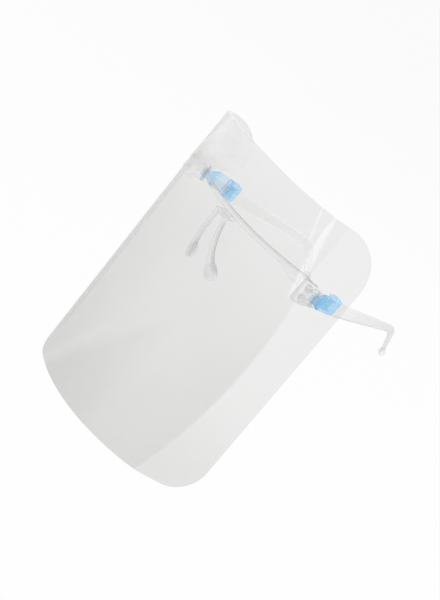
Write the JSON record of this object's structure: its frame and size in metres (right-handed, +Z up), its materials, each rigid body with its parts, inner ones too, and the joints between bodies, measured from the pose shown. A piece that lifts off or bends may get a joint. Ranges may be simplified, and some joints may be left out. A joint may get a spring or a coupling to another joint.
{
  "type": "face shield",
  "caption": "Clear wrap-round face visor snapped on a spectacle-type frame with a nose rest, blue hinge sleeves and folding temples that slide to set their length.",
  "frame": {"origin": "on the middle plane, just in front of the bridge of the nose and near hinge level", "axes": "+Z up as worn, -Y to the front, +X to the wearer's left"},
  "size_m": [0.177, 0.1968, 0.23],
  "materials": {
    "clear_sheet": "clear polished sheet",
    "clear_plastic": "clear moulded, glossy",
    "soft_pad": "clear soft, satin",
    "blue_plastic": "translucent sky blue, glossy",
    "spring_steel": "bright"
  },
  "bodies": {
    "frame": {"visor": "clear_sheet", "brow_frame": "clear_plastic", "nose_bridge": "clear_plastic", "nose_pad_left": "soft_pad", "nose_pad_right": "soft_pad", "snap_button_left_upper": "clear_plastic", "snap_button_left_lower": "clear_plastic", "snap_button_right_upper": "clear_plastic", "snap_button_right_lower": "clear_plastic", "hinge_pin_left": "clear_plastic", "hinge_pin_right": "clear_plastic"},
    "sleeve_left": {"temple_sleeve_left": "blue_plastic", "click_spring_left": "spring_steel"},
    "sleeve_right": {"temple_sleeve_right": "blue_plastic", "click_spring_right": "spring_steel"},
    "arm_left": {"temple_left": "clear_plastic", "ear_tip_left": "clear_plastic"},
    "arm_right": {"temple_right": "clear_plastic", "ear_tip_right": "clear_plastic"}
  },
  "joints": [
    {"name": "fold_left", "type": "hinge", "parent": "frame", "child": "sleeve_left", "pos_m": [0.0679, 0.037, -0.0017], "axis": [0, 0, 1], "range_deg": [0, 88]},
    {"name": "extend_left", "type": "slide", "parent": "sleeve_left", "child": "arm_left", "axis": [0, 0.9962, -0.0872], "range_m": [-0.009, 0], "deforming": ["click_spring_left"]},
    {"name": "fold_right", "type": "hinge", "parent": "frame", "child": "sleeve_right", "pos_m": [-0.0679, 0.037, -0.0017], "axis": [0, 0, -1], "range_deg": [-20, 38]},
    {"name": "extend_right", "type": "slide", "parent": "sleeve_right", "child": "arm_right", "axis": [0.3407, 0.9361, -0.0872], "range_m": [0, 0.009], "deforming": ["click_spring_right"]}
  ]
}
